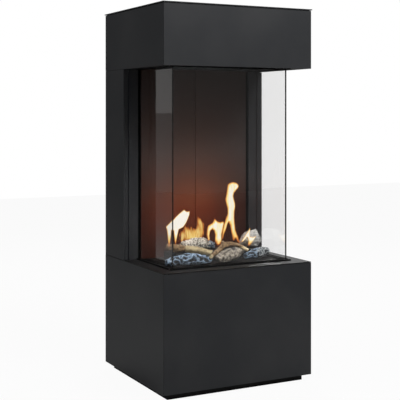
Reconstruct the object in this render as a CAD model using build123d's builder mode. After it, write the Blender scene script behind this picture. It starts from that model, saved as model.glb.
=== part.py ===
from build123d import *
import math
import os

os.makedirs("parts", exist_ok=True)

# A free-standing sealed gas fireplace: box base, fire room glazed on three sides, shallow rear
# column and a square hood. Millimetres, Z up. The origin is the centre of the casing's footprint
# on the floor, +X is the viewer's right and +Y points to the wall behind.

# Overall sizes
width = 550.0
depth = 480.0
height = 1250.0
base_height = 400.0
hood_height = 200.0
column_depth = 162.0

# Sheet metal
sheet = 2.0
thin_sheet = 1.5
return_width = 15.0
hood_lip = 10.0
seam = 1.0
shadow_gap = 0.8

# Plinth and feet
plinth_height = 20.0
plinth_setback = 23.0
plinth_rim = 22.0
foot_pad_radius = 18.0
foot_pad_height = 6.0
foot_stem_radius = 4.0
foot_stem_top = 54.0
foot_travel = 20.0
foot_inset = 46.0
foot_lift = 0.5
nut_radius = 8.0
nut_height = 10.0
running_gap = 0.05

# Service door in the front of the base
door_pivot_side = 8.0
door_pivot_back = 11.0
pivot_pin_radius = 2.5
pivot_plate = 3.0
pivot_boss_radius = 4.5
tab_radius = 5.5
tab_depth = 14.5
rail_height = 20.0
rail_drop = 5.0
stile_width = 30.0
stile_depth = 14.5
free_gap = 0.3

# Push catch
catch_height = 205.0
catch_width = 24.0
catch_length = 42.0
catch_tall = 24.0
plunger_radius = 4.0
plunger_travel = 6.0

# Glass
glass = 4.0
glass_inset = 60.0
glass_foot = 1.5
glass_rail_lip = 1.5
front_rail_out = 8.0
side_rail_out = 12.0
rail_in = 4.0
bottom_rail_height = 5.0
top_rail_height = 3.0
seal_depth = 14.5

# Column jambs and firebox back
flange_width = 17.0
groove = 2.0
jamb_rib = 3.5
jamb_rib_proud = 1.5
jamb_face = 32.5
jamb_return = 40.0
slot_width = 14.0
slot_depth = 20.0
back_panel = 3.0
back_seam_gap = 0.6
back_seam_bevel = 2.2
back_flange = 16.0

# Burner tray and burner
tray_length = 372.0
tray_width = 222.0
tray_flange = 12.0
tray_depth = 28.0
burner_gap = 3.5
burner_height = 25.5
burner_wall = 1.5
deck_length = 310.0
deck_width = 90.0
deck_rise = 28.0
deck_shift = 12.0
deck_setback = 4.5
port_length = 30.0
port_width = 3.0
port_pitch = 42.0
front_ports = 8
deck_ports = 7
deck_port_rows = 2
venturi_radius = 12.0
venturi_length = 46.0
venturi_x = 120.0
pilot_notch = 50.0
pilot_notch_depth = 22.0

# Flue
flue_drop = 14.5
flue_outer_radius = 75.0
flue_inner_radius = 50.0
flue_reach = 45.0
inner_socket = 25.0
stop_bead = 2.0
flue_box_width = 380.0
flue_box_inset = 20.0
flue_box_behind = 22.0
flue_box_room = 40.0
throat_length = 350.0
throat_width = 200.0
relief_length = 70.0
relief_width = 50.0

# Lid
lid_thickness = 3.0
lid_overhang = 3.0
lid_shadow = 2.0
lid_setback = 5.0

# Gas train
pipe_radius = 4.0
pipe_bore = 3.0
pilot_pipe_radius = 2.0
pilot_pipe_bore = 1.2
valve_x = -25.0
valve_front = -165.0
valve_length = 110.0
valve_depth = 70.0
valve_height = 42.0
valve_base = 52.0
knob_radius = 14.0
knob_length = 16.0
knob_spread = 30.0
spindle_radius = 3.0
inlet_x = -150.0
inlet_z = 95.0
inlet_radius = 10.5
inlet_reach = 14.0

# Radio receiver box
receiver_x = 130.0
receiver_width = 110.0
receiver_depth = 40.0
receiver_height = 80.0
rocker_radius = 8.0
rocker_length = 22.0
rocker_facet = 14.0
rocker_tilt = 24.0
button_radius = 4.0
button_travel = 3.0

# Rear screws
screw_radius = 2.0
screw_head_radius = 4.0
screw_head_height = 2.2

# Levels and planes worked out from the sizes above
front = -depth / 2
rear = depth / 2
side = width / 2
inner_side = side - sheet
hearth_top = base_height
hearth_under = hearth_top - sheet
hood_bottom = height - hood_height
lid_under = height - lid_thickness
hood_top = lid_under - lid_shadow
column_front = rear - column_depth
floor_top = plinth_height + sheet
ceiling_under = hood_bottom + sheet
ceiling_top = ceiling_under + sheet
panel_front = rear - 2 * sheet
glass_front_plane = front + glass_inset
glass_side_plane = side - glass_inset
jamb_outer = side - flange_width - groove
jamb_inner = jamb_outer - jamb_rib - jamb_face
slot_inner = jamb_inner - slot_width
back_front = column_front + sheet
tray_top = hearth_top + thin_sheet
tray_centre = (glass_front_plane + column_front) / 2 + 2
pivot_x = side - door_pivot_side
pivot_y = front + door_pivot_back
bed = tray_top
flue_height = (ceiling_top + hood_top) / 2 - flue_drop
flue_box_front = glass_front_plane + flue_box_inset
flue_box_rear = column_front + flue_box_behind
flue_box_top = hood_top - flue_box_room
vent_x = side - 105.0

# The door's skin swings round the front corner: what stands behind it keeps out of its sweep
skin_back = door_pivot_back - sheet
swing_margin = 0.4
sweep_at_side = math.sqrt(skin_back ** 2 - door_pivot_side ** 2)
sweep_inside = math.sqrt(skin_back ** 2 - (inner_side - pivot_x) ** 2)
swing_edge = pivot_y - sweep_at_side + swing_margin
inside_edge = pivot_y - sweep_inside + swing_margin


def block(x0, x1, y0, y1, mode=Mode.ADD):
    """A rectangle between two corners, in the sketch that is being drawn."""
    with Locations(((x0 + x1) / 2, (y0 + y1) / 2)):
        Rectangle(abs(x1 - x0), abs(y1 - y0), mode=mode)


def slab(x0, x1, y0, y1, z0, z1, mode=Mode.ADD):
    """A straight block between two corners, in the part that is being built."""
    with Locations(((x0 + x1) / 2, (y0 + y1) / 2, (z0 + z1) / 2)):
        Box(abs(x1 - x0), abs(y1 - y0), abs(z1 - z0), mode=mode)


def save(builder, name):
    """Label a finished piece and write it to its own file."""
    builder.part.label = name
    export_step(builder.part, f"parts/{name}.step")


def screw_levels(low, high, count):
    """Heights of a row of screws, spread evenly between two ends."""
    step = (high - low) / (count - 1)
    return [low + step * n for n in range(count)]


base_screws = screw_levels(plinth_height + 50, hearth_under - 50, 3)
upper_screws = screw_levels(hearth_top + 60, hood_top - 60, 5)
screw_x = side - return_width / 2


def rear_places(levels, face):
    """Screw places on both rear edges, on the plane of a given face."""
    return [(x, face, z) for z in levels for x in (-screw_x, screw_x)]


def drill_rear(levels):
    """Screw holes through whatever lies at the rear edges of the casing."""
    with Locations(*[Location(place, (90, 0, 0)) for place in rear_places(levels, rear)]):
        Cylinder(screw_radius + running_gap, 6 * sheet, mode=Mode.SUBTRACT)


def casing_side(y0, z0, z1, levels, lower_lip=0.0):
    """The left outer casing of one storey: a flat side with a rear return and an optional lower lip."""
    with BuildPart() as casing:
        with BuildSketch(Plane.XY.offset(z0)):
            block(-side, -inner_side, y0, rear)
            block(-side, -side + return_width, rear - sheet, rear)
        extrude(amount=z1 - z0)
        if lower_lip > 0:
            slab(-inner_side, -inner_side + lower_lip, y0, column_front, z0, z0 + sheet)
        drill_rear(levels)
    return casing.part


# Plinth: a shallow recessed tray that stands on the floor and hides the screw feet
foot_x = side - plinth_setback - foot_inset
foot_y = rear - plinth_setback - foot_inset
foot_places = [(x, y) for y in (-foot_y, foot_y) for x in (-foot_x, foot_x)]
plinth_length = width - 2 * plinth_setback
plinth_width = depth - 2 * plinth_setback

with BuildPart() as plinth_frame:
    with BuildSketch():
        Rectangle(plinth_length, plinth_width)
    extrude(amount=plinth_height)
    with BuildSketch(Plane.XY.offset(sheet)):
        Rectangle(plinth_length - 2 * sheet, plinth_width - 2 * sheet)
    extrude(amount=plinth_height - 2 * sheet, mode=Mode.SUBTRACT)
    with BuildSketch(Plane.XY.offset(plinth_height - sheet)):
        Rectangle(plinth_length - 2 * plinth_rim, plinth_width - 2 * plinth_rim)
    extrude(amount=sheet, mode=Mode.SUBTRACT)
    with Locations(*foot_places):
        Cylinder(foot_pad_radius + sheet, 3 * sheet, mode=Mode.SUBTRACT)
save(plinth_frame, "plinth_frame")

# Base floor: a sheet with a weld nut over each foot and vent slots for the control space
with BuildPart() as base_floor:
    slab(-inner_side, inner_side, inside_edge, panel_front, plinth_height, floor_top)
    with Locations(*[(x, y, floor_top + nut_height / 2) for x, y in foot_places]):
        Cylinder(nut_radius, nut_height)
    with Locations(*[(x, y, floor_top) for x, y in foot_places]):
        Cylinder(foot_stem_radius + running_gap, 4 * nut_height, mode=Mode.SUBTRACT)
    with BuildSketch(Plane.XY.offset(plinth_height)):
        with Locations((0, -foot_y / 4)):
            with GridLocations(90, 24, 3, 2):
                SlotOverall(60, 6)
    extrude(amount=sheet, mode=Mode.SUBTRACT)
save(base_floor, "base_floor")


def levelling_foot(x, y):
    """A screw foot with a wide pad, wound in until it hangs just above the floor."""
    with BuildPart() as foot:
        with BuildSketch(Plane.XY.offset(foot_lift)):
            with Locations((x, y)):
                Circle(foot_pad_radius)
        extrude(amount=foot_pad_height)
        chamfer(foot.faces().sort_by(Axis.Z)[-1].edges(), foot_pad_height / 2)
        with BuildSketch(Plane.XY.offset(foot_lift + foot_pad_height)):
            with Locations((x, y)):
                Circle(foot_stem_radius)
        extrude(amount=foot_stem_top - foot_pad_height - foot_lift)
    return foot


foot_names = ["foot_front_left", "foot_front_right", "foot_rear_left", "foot_rear_right"]
for foot_name, (place_x, place_y) in zip(foot_names, foot_places):
    save(levelling_foot(place_x, place_y), foot_name)

# Base casing: the left side comes close to the door, the right side leaves room for its swing
door_back = front + sheet

with BuildPart() as base_side_left:
    add(casing_side(door_back + seam, plinth_height, hearth_under, base_screws))
save(base_side_left, "base_side_left")

with BuildPart() as base_side_right:
    mirror(casing_side(swing_edge, plinth_height, hearth_under, base_screws), about=Plane.YZ)
save(base_side_right, "base_side_right")

# Base rear panel with the gas entry and two groups of louvre slots
louvre_z = hearth_under - 108
with BuildPart() as base_rear:
    slab(-inner_side, inner_side, panel_front, rear - sheet, floor_top, hearth_under)
    drill_rear(base_screws)
    with BuildSketch(Plane.XZ.offset(-rear)):
        with Locations((inlet_x, inlet_z)):
            Circle(inlet_radius + 1.5)
        with Locations((-110, louvre_z), (110, louvre_z)):
            with GridLocations(110, 16, 1, 4):
                SlotOverall(120, 6)
    extrude(amount=3 * sheet, mode=Mode.SUBTRACT)
save(base_rear, "base_rear")

# Corner posts: four folded angles that carry the hearth plate
post_leg = 25.0
front_post_y = front + 26.0
with BuildPart() as base_posts:
    for hand in (-1, 1):
        with BuildSketch(Plane.XY.offset(floor_top)):
            block(hand * inner_side, hand * (inner_side - sheet), front_post_y, front_post_y + post_leg)
            block(hand * inner_side, hand * (inner_side - post_leg), front_post_y, front_post_y + sheet)
            block(hand * inner_side, hand * (inner_side - sheet), panel_front - post_leg, panel_front)
            block(hand * inner_side, hand * (inner_side - post_leg), panel_front - sheet, panel_front)
        extrude(amount=hearth_under - floor_top)
    catch_x = -(inner_side - sheet - catch_width / 2)
    with Locations(Location((catch_x, front_post_y, catch_height), (90, 0, 0))):
        Cylinder(plunger_radius + 1.5, 3 * sheet, mode=Mode.SUBTRACT)
    drill_rear(base_screws)
save(base_posts, "base_posts")

# Hearth plate: the black top of the base, open over the burner tray and under the column
with BuildPart() as hearth_plate:
    slab(-side, side, front, rear, hearth_under, hearth_top)
    slab(-tray_length / 2, tray_length / 2, tray_centre - tray_width / 2, tray_centre + tray_width / 2,
         hearth_under, hearth_top, mode=Mode.SUBTRACT)
    with BuildSketch(Plane.XY.offset(hearth_under)):
        with Locations((0, (column_front + back_panel + rear) / 2)):
            with GridLocations(120, 1, 3, 1):
                SlotOverall(90, 30)
    extrude(amount=sheet, mode=Mode.SUBTRACT)
    fillet(hearth_plate.edges().filter_by(Axis.Z).group_by(SortBy.DISTANCE)[-1], 1.0)
save(hearth_plate, "hearth_plate")

# Service door: skin, the two rails with pivot tabs and the stile that the catch pushes on
door_low = plinth_height + seam
door_high = hearth_under - seam
top_tab = hearth_under - pivot_plate - rail_drop
bottom_tab = floor_top + pivot_plate + rail_drop - sheet

with BuildPart() as door_panel:
    slab(-side, side, front, door_back, door_low, door_high)
    fillet(door_panel.edges().filter_by(Axis.Z).group_by(Axis.Y)[0], 0.8)
save(door_panel, "door_panel")

with BuildPart() as door_frame:
    for tab_low, flange_low in ((bottom_tab, bottom_tab), (top_tab, top_tab + sheet - rail_height)):
        with BuildSketch(Plane.XY.offset(tab_low)):
            block(-inner_side + 5, pivot_x - tab_radius, door_back, door_back + tab_depth)
            block(pivot_x - tab_radius, pivot_x, pivot_y - tab_radius, pivot_y + tab_radius)
            with Locations((pivot_x, pivot_y)):
                Circle(tab_radius)
                Circle(pivot_pin_radius + running_gap, mode=Mode.SUBTRACT)
        extrude(amount=sheet)
        slab(-inner_side + 5, pivot_x - 12, door_back, door_back + thin_sheet, flange_low,
             flange_low + rail_height)
    stile_left = -inner_side + 3
    stile_right = stile_left + stile_width
    with BuildSketch(Plane.XY.offset(bottom_tab + rail_height + seam)):
        block(stile_left, stile_right, door_back + stile_depth - thin_sheet, door_back + stile_depth)
        block(stile_left, stile_left + thin_sheet, door_back, door_back + stile_depth)
        block(stile_right - thin_sheet, stile_right, door_back, door_back + stile_depth)
        block(stile_right, stile_right + return_width, door_back, door_back + thin_sheet)
    extrude(amount=top_tab - rail_height - bottom_tab - rail_height - seam)
save(door_frame, "door_frame")

# Pivot brackets: plates under the hearth and on the floor, each with a boss and a pin
with BuildPart() as pivot_brackets:
    bracket_left = inner_side - post_leg - 5
    for plate_low, boss_end, pin_end in (
        (floor_top, bottom_tab - free_gap, bottom_tab + sheet + 4),
        (hearth_under - pivot_plate, top_tab + sheet + free_gap, top_tab - 4),
    ):
        slab(bracket_left, inner_side, inside_edge, front_post_y - seam / 2, plate_low,
             plate_low + pivot_plate)
        for radius, end in ((pivot_boss_radius, boss_end), (pivot_pin_radius, pin_end)):
            with Locations((pivot_x, pivot_y, (plate_low + pivot_plate / 2 + end) / 2)):
                Cylinder(radius, abs(end - plate_low - pivot_plate / 2))
save(pivot_brackets, "pivot_brackets")

# Push catch behind the stile: a body with a sprung plunger
strike = door_back + stile_depth
plunger_tip = strike + free_gap
catch_front = front_post_y + sheet

with BuildPart() as push_catch:
    slab(catch_x - catch_width / 2, catch_x + catch_width / 2, catch_front, catch_front + catch_length,
         catch_height - catch_tall / 2, catch_height + catch_tall / 2)
    fillet(push_catch.edges().filter_by(Axis.Y), 2.0)
    with Locations(Location((catch_x, catch_front, catch_height), (90, 0, 0))):
        Cylinder(plunger_radius + running_gap, 2 * (catch_length - 8), mode=Mode.SUBTRACT)
save(push_catch, "push_catch")

with BuildPart() as catch_plunger:
    with BuildSketch(Plane.XZ.offset(-plunger_tip)):
        with Locations((catch_x, catch_height)):
            Circle(plunger_radius)
    extrude(amount=-(catch_front + catch_length - 8 - 2 * plunger_travel - plunger_tip))
    fillet(catch_plunger.edges().filter_by(GeomType.CIRCLE).sort_by(Axis.Y)[0], 1.5)
save(catch_plunger, "catch_plunger")

# Column casings: folded sides with a front flange beside the fire room
with BuildPart() as column_side_left:
    with BuildSketch(Plane.XY.offset(hearth_top + shadow_gap)):
        block(-side, -inner_side, column_front, rear)
        block(-side, -side + flange_width, column_front, column_front + sheet)
        block(-side, -side + return_width, rear - sheet, rear)
    extrude(amount=hood_bottom - hearth_top - 2 * shadow_gap)
    fillet(column_side_left.edges().filter_by(Axis.Z).group_by(SortBy.DISTANCE)[-1], 1.0)
    drill_rear([z for z in upper_screws if z < hood_bottom])
save(column_side_left, "column_side_left")

with BuildPart() as column_side_right:
    mirror(column_side_left.part, about=Plane.YZ)
save(column_side_right, "column_side_right")

# Jambs: the folded profiles between the column casing and the glass, with the slot for the seal
jamb_rear = column_front + jamb_return
with BuildPart() as chamber_jambs:
    for hand in (-1, 1):
        with BuildSketch(Plane.XY.offset(hearth_top)):
            block(hand * jamb_outer, hand * (jamb_outer - jamb_rib), column_front - jamb_rib_proud,
                  back_front + thin_sheet)
            block(hand * jamb_outer, hand * (jamb_outer - thin_sheet), back_front, jamb_rear)
            block(hand * inner_side, hand * (jamb_outer - thin_sheet), jamb_rear, jamb_rear + thin_sheet)
            block(hand * jamb_outer, hand * jamb_inner, back_front, back_front + thin_sheet)
            block(hand * (jamb_inner + thin_sheet), hand * jamb_inner, back_front, back_front + slot_depth)
            block(hand * (jamb_inner + thin_sheet), hand * (slot_inner - thin_sheet),
                  back_front + slot_depth, back_front + slot_depth + thin_sheet)
            block(hand * slot_inner, hand * (slot_inner - thin_sheet), back_front + back_panel,
                  back_front + slot_depth)
            block(hand * slot_inner, hand * (slot_inner - back_flange), back_front + back_panel,
                  back_front + back_panel + thin_sheet)
        extrude(amount=ceiling_under - hearth_top)
save(chamber_jambs, "chamber_jambs")

# Firebox back: two panels that meet in a bevelled centre seam
with BuildPart() as back_wall_left:
    slab(-slot_inner, -back_seam_gap / 2, back_front, back_front + back_panel, hearth_top, ceiling_under)
    seam_edge = back_wall_left.edges().filter_by(Axis.Z).group_by(Axis.Y)[0].sort_by(Axis.X)[-1]
    chamfer(seam_edge, back_seam_bevel)
save(back_wall_left, "back_wall_left")

with BuildPart() as back_wall_right:
    mirror(back_wall_left.part, about=Plane.YZ)
save(back_wall_right, "back_wall_right")

# Rear panel behind the column and the hood, with the flue cut-out and warm air slots
panel_low = hearth_top + shadow_gap
with BuildPart() as rear_panel:
    slab(-inner_side, inner_side, panel_front, rear - sheet, panel_low, hood_top - sheet)
    drill_rear(upper_screws)
    with BuildSketch(Plane.XZ.offset(-rear)):
        with Locations((0, flue_height)):
            Circle(flue_outer_radius + running_gap)
        with Locations((-vent_x, flue_height), (vent_x, flue_height)):
            with GridLocations(1, 16, 1, 5):
                SlotOverall(110, 6)
    extrude(amount=3 * sheet, mode=Mode.SUBTRACT)
save(rear_panel, "rear_panel")

# Hood: front and side skins, the ceiling over the fire room and the thin lid
with BuildPart() as hood_front:
    slab(-side, side, front, door_back, hood_bottom, hood_top)
    slab(-inner_side + hood_lip, inner_side - hood_lip, door_back, door_back + hood_lip, hood_bottom,
         ceiling_under)
    slab(-inner_side + hood_lip, inner_side - hood_lip, door_back, door_back + hood_lip,
         hood_top - sheet, hood_top)
    fillet(hood_front.edges().filter_by(Axis.Z).group_by(Axis.Y)[0], 0.8)
save(hood_front, "hood_front")

with BuildPart() as hood_side_left:
    add(casing_side(door_back + seam, hood_bottom, hood_top,
                    [z for z in upper_screws if z > hood_bottom], hood_lip))
    slab(-inner_side, -inner_side + hood_lip, door_back + seam, panel_front, hood_top - sheet, hood_top)
save(hood_side_left, "hood_side_left")

with BuildPart() as hood_side_right:
    mirror(hood_side_left.part, about=Plane.YZ)
save(hood_side_right, "hood_side_right")

throat_y = (flue_box_front + flue_box_rear) / 2
with BuildPart() as hood_ceiling:
    slab(-inner_side, inner_side, door_back, panel_front, ceiling_under, ceiling_top)
    slab(-throat_length / 2, throat_length / 2, throat_y - throat_width / 2, throat_y + throat_width / 2,
         ceiling_under, ceiling_top, mode=Mode.SUBTRACT)
save(hood_ceiling, "hood_ceiling")

with BuildPart() as lid:
    slab(-side - lid_overhang, side + lid_overhang, front - lid_overhang, rear + lid_overhang, lid_under,
         height)
    fillet(lid.edges().filter_by(Axis.Z), 1.5)
    with BuildSketch(Plane.XY.offset(hood_top)):
        Rectangle(width - 2 * lid_setback, depth - 2 * lid_setback)
        Rectangle(width - 2 * lid_setback - 2 * sheet, depth - 2 * lid_setback - 2 * sheet,
                  mode=Mode.SUBTRACT)
    extrude(amount=lid_shadow)
save(lid, "lid")

# Flue box over the fire room, with the relief port and the lugs of its flap
flap_length = relief_width + 24
flap_width = relief_length + 24
flap_front = throat_y - flap_length / 2
flap_axis_z = flue_box_top + free_gap + 5.0
flap_axis_y = flap_front - 4
flap_barrel = 4.0
flap_pin = 2.0
lug = 3.0

with BuildPart() as flue_box:
    slab(-flue_box_width / 2, flue_box_width / 2, flue_box_front, flue_box_rear, ceiling_top, flue_box_top)
    slab(-flue_box_width / 2 + thin_sheet, flue_box_width / 2 - thin_sheet, flue_box_front + thin_sheet,
         flue_box_rear - thin_sheet, ceiling_top, flue_box_top - thin_sheet, mode=Mode.SUBTRACT)
    with BuildSketch(Plane.XY.offset(ceiling_top)):
        with Locations((0, throat_y)):
            Rectangle(flue_box_width + 24, flue_box_rear - flue_box_front + 24)
            Rectangle(flue_box_width, flue_box_rear - flue_box_front, mode=Mode.SUBTRACT)
    extrude(amount=thin_sheet)
    with Locations(Location((0, flue_box_rear, flue_height), (90, 0, 0))):
        Cylinder(flue_inner_radius + running_gap, 6 * sheet, mode=Mode.SUBTRACT)
    with Locations((0, throat_y, flue_box_top)):
        Box(relief_length, relief_width, 4 * sheet, mode=Mode.SUBTRACT)
    for hand in (-1, 1):
        lug_x = hand * (flap_width / 2 + free_gap + lug / 2)
        slab(lug_x - lug / 2, lug_x + lug / 2, flap_axis_y - 6, flap_axis_y + 6, flue_box_top,
             flap_axis_z + 5)
    with Locations(Location((0, flap_axis_y, flap_axis_z), (0, 90, 0))):
        Cylinder(flap_pin + running_gap, 2 * flap_width, mode=Mode.SUBTRACT)
save(flue_box, "flue_box")

with BuildPart() as relief_flap:
    slab(-flap_width / 2, flap_width / 2, flap_axis_y, flap_front + flap_length,
         flue_box_top + free_gap, flue_box_top + free_gap + thin_sheet)
    with Locations(Location((0, flap_axis_y, flap_axis_z), (0, 90, 0))):
        Cylinder(flap_barrel, flap_width)
        Cylinder(flap_pin, flap_width + 2 * free_gap + 2 * lug + 4)
save(relief_flap, "relief_flap")


def spigot(radius, y0, y1, collar_radius, collar_y, bead_end=None):
    """A flue tube along Y with its collar against its wall, and a stop bead where one is asked for."""
    with BuildPart() as tube:
        with BuildSketch(Plane.XZ.offset(-y0)):
            with Locations((0, flue_height)):
                Circle(radius)
        extrude(amount=-(y1 - y0))
        with BuildSketch(Plane.XZ.offset(-collar_y)):
            with Locations((0, flue_height)):
                Circle(collar_radius)
        extrude(amount=-thin_sheet)
        if bead_end is not None:
            with BuildSketch(Plane.XZ.offset(-bead_end)):
                with Locations((0, flue_height)):
                    Circle(radius + stop_bead)
            extrude(amount=2 * stop_bead)
        with BuildSketch(Plane.XZ.offset(-y0)):
            with Locations((0, flue_height)):
                Circle(radius - thin_sheet)
        extrude(amount=-(y1 - y0), mode=Mode.SUBTRACT)
    return tube


save(spigot(flue_outer_radius, panel_front, rear + flue_reach - 5, flue_outer_radius + 10, rear - sheet),
     "flue_spigot_outer")
save(spigot(flue_inner_radius, flue_box_rear - thin_sheet, rear + flue_reach, flue_inner_radius + 10,
            flue_box_rear, rear + flue_reach - inner_socket), "flue_spigot_inner")

# Glass: three panes of ceramic glass, butted at the front corners
pane_low = hearth_top + glass_foot
pane_high = ceiling_under - 1
pane_rear = back_front + slot_depth - 8

with BuildPart() as glass_front:
    slab(-glass_side_plane, glass_side_plane, glass_front_plane, glass_front_plane + glass, pane_low,
         pane_high)
    chamfer(glass_front.edges().filter_by(Axis.Z), 0.5)
save(glass_front, "glass_front")

with BuildPart() as glass_left:
    slab(-glass_side_plane, -glass_side_plane + glass, glass_front_plane + glass + 0.2, pane_rear,
         pane_low, pane_high)
    chamfer(glass_left.edges().filter_by(Axis.Z), 0.5)
save(glass_left, "glass_left")

with BuildPart() as glass_right:
    mirror(glass_left.part, about=Plane.YZ)
save(glass_right, "glass_right")

# Rails: shallow channels that hold the panes at the hearth and under the ceiling
rail_front = glass_front_plane - front_rail_out
rail_back = glass_front_plane + glass + rail_in
rail_out = glass_side_plane + side_rail_out
rail_inner = glass_side_plane - glass - rail_in
with BuildPart() as glass_rails:
    for low, web_low, tall in (
        (hearth_top, hearth_top, bottom_rail_height),
        (ceiling_under - top_rail_height, ceiling_under - 1, top_rail_height),
    ):
        web = glass_foot if low == hearth_top else 1.0
        slab(-rail_out, rail_out, rail_front, rail_back, web_low, web_low + web)
        for y0 in (rail_front, rail_back - glass_rail_lip):
            lip_end = rail_out if y0 == rail_front else rail_inner
            slab(-lip_end, lip_end, y0, y0 + glass_rail_lip, low, low + tall)
        for hand in (-1, 1):
            slab(hand * rail_out, hand * rail_inner, rail_back + 0.2, column_front - jamb_rib_proud - 0.5,
                 web_low, web_low + web)
            for x0 in (rail_out, rail_inner + glass_rail_lip):
                slab(hand * x0, hand * (x0 - glass_rail_lip), rail_back + 0.2,
                     column_front - jamb_rib_proud - 0.5, low, low + tall)
save(glass_rails, "glass_rails")

# Seals: rope packing round the rear edge of each side pane, in the jamb slots
with BuildPart() as glass_seals:
    for hand in (-1, 1):
        slab(hand * (jamb_inner), hand * (slot_inner), back_front + slot_depth - seal_depth,
             back_front + slot_depth, pane_low, pane_high)
        slab(hand * glass_side_plane, hand * (glass_side_plane - glass),
             back_front + slot_depth - seal_depth, pane_rear, pane_low, pane_high, mode=Mode.SUBTRACT)
save(glass_seals, "glass_seals")

# Burner tray: a pan hung in the hearth opening
tray_bottom = tray_top - tray_depth - thin_sheet
pan_floor = tray_bottom + thin_sheet
pan_x = tray_length / 2 - 0.5
pan_y = tray_width / 2 - 0.5
pilot_y = tray_centre + pan_y - thin_sheet - burner_gap - pilot_notch_depth / 2
with BuildPart() as burner_tray:
    slab(-pan_x - tray_flange, pan_x + tray_flange, tray_centre - pan_y - tray_flange / 2,
         tray_centre + pan_y + tray_flange / 2, hearth_top, tray_top)
    slab(-pan_x, pan_x, tray_centre - pan_y, tray_centre + pan_y, tray_bottom, hearth_top)
    slab(-pan_x + thin_sheet, pan_x - thin_sheet, tray_centre - pan_y + thin_sheet,
         tray_centre + pan_y - thin_sheet, tray_bottom + thin_sheet, tray_top, mode=Mode.SUBTRACT)
    with Locations((venturi_x, tray_centre, tray_bottom)):
        Cylinder(venturi_radius + 2, 4 * sheet, mode=Mode.SUBTRACT)
    with Locations((0, pilot_y, tray_bottom)):
        Cylinder(pilot_pipe_radius + 2, 4 * sheet, mode=Mode.SUBTRACT)
save(burner_tray, "burner_tray")

# Burner: a plenum with a raised deck for the rear logs, slotted ports and the venturi that
# reaches down to the injector
burner_x = pan_x - thin_sheet - burner_gap
burner_y = pan_y - thin_sheet - burner_gap
burner_low = tray_top - burner_height
deck_top = tray_top + deck_rise
deck_rear = tray_centre + burner_y - pilot_notch_depth - deck_setback
deck_front = deck_rear - deck_width
deck_mid = (deck_front + deck_rear) / 2
deck_left = deck_shift - deck_length / 2
deck_right = deck_shift + deck_length / 2
with BuildPart() as burner:
    slab(-burner_x, burner_x, tray_centre - burner_y, tray_centre + burner_y, burner_low, tray_top)
    slab(deck_left, deck_right, deck_front, deck_rear, tray_top, deck_top)
    fillet(burner.faces().sort_by(Axis.Z)[-1].edges(), burner_wall)
    slab(-burner_x + burner_wall, burner_x - burner_wall, tray_centre - burner_y + burner_wall,
         tray_centre + burner_y - burner_wall - pilot_notch_depth, burner_low + burner_wall,
         tray_top - burner_wall, mode=Mode.SUBTRACT)
    slab(deck_left + burner_wall, deck_right - burner_wall, deck_front + burner_wall,
         deck_rear - burner_wall, tray_top - 2 * burner_wall, deck_top - burner_wall, mode=Mode.SUBTRACT)
    slab(-pilot_notch / 2, pilot_notch / 2, tray_centre + burner_y - pilot_notch_depth,
         tray_centre + burner_y, burner_low, tray_top, mode=Mode.SUBTRACT)
    with BuildSketch(Plane.XY.offset(tray_top - 2 * burner_wall)):
        with Locations((0, deck_front - 14)):
            with GridLocations(port_pitch, 1, front_ports, 1):
                SlotOverall(port_length, port_width)
    extrude(amount=3 * burner_wall, mode=Mode.SUBTRACT)
    with BuildSketch(Plane.XY.offset(deck_top - 2 * burner_wall)):
        with Locations((deck_shift, deck_mid)):
            with GridLocations(port_pitch, deck_width / 2, deck_ports, deck_port_rows):
                SlotOverall(port_length, port_width)
    extrude(amount=3 * burner_wall, mode=Mode.SUBTRACT)
    with Locations(*[(x, tray_centre + y, (burner_low + pan_floor) / 2) for x in (-150, 150)
                     for y in (-80, 80)]):
        Cylinder(6, burner_low - pan_floor)
    with BuildSketch(Plane.XY.offset(burner_low + burner_wall)):
        with Locations((venturi_x, tray_centre)):
            Circle(venturi_radius)
    extrude(amount=-venturi_length)
    with BuildSketch(Plane.XY.offset(burner_low + burner_wall)):
        with Locations((venturi_x, tray_centre)):
            Circle(venturi_radius - burner_wall)
    extrude(amount=-venturi_length, mode=Mode.SUBTRACT)
save(burner, "burner")

# Pilot burner in the notch at the rear of the burner, with its two probes
with BuildPart() as pilot_burner:
    slab(-21, 21, pilot_y - 8, pilot_y + 8, pan_floor, pan_floor + sheet)
    with Locations((0, pilot_y, pan_floor + sheet + 14)):
        Cylinder(5, 28)
    with Locations((0, pilot_y, pan_floor + sheet + 31)):
        Cylinder(7.5, 6)
    with Locations((0, pilot_y - 6, pan_floor + sheet + 31)):
        Box(4, 8, 3, mode=Mode.SUBTRACT)
    with Locations(*[(x, pilot_y, pan_floor) for x in (-14, 14)]):
        Cylinder(2.0 + running_gap, 3 * sheet, mode=Mode.SUBTRACT)
save(pilot_burner, "pilot_burner")

with BuildPart() as pilot_probes:
    with Locations((-14, pilot_y, pan_floor + 22)):
        Cylinder(2.0, 40)
    with Locations((14, pilot_y, pan_floor + 20)):
        Cylinder(1.5, 38)
    with Locations((14, pilot_y, pan_floor + 12)):
        Cylinder(3.5, 16)
save(pilot_probes, "pilot_probes")

# Gas valve on its bracket: a cast body with inlet, outlet and pilot unions, and two spindles
valve_left = valve_x - valve_length / 2
valve_right = valve_x + valve_length / 2
valve_mid = valve_base + valve_height / 2
valve_rear = valve_front + valve_depth
knob_places = [(valve_x - knob_spread, valve_mid), (valve_x + knob_spread, valve_mid)]

with BuildPart() as valve_bracket:
    slab(valve_left + 15, valve_right - 15, valve_front + 5, valve_rear - 5, valve_base - sheet,
         valve_base)
    slab(valve_left + 15, valve_right - 15, valve_rear - 5 - sheet, valve_rear - 5, floor_top, valve_base)
    slab(valve_left + 15, valve_right - 15, valve_rear - 5, valve_rear + 20, floor_top,
         floor_top + sheet)
    slab(valve_left + 15, valve_right - 15, valve_front + 5, valve_front + 5 + sheet, floor_top,
         valve_base)
save(valve_bracket, "valve_bracket")

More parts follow.
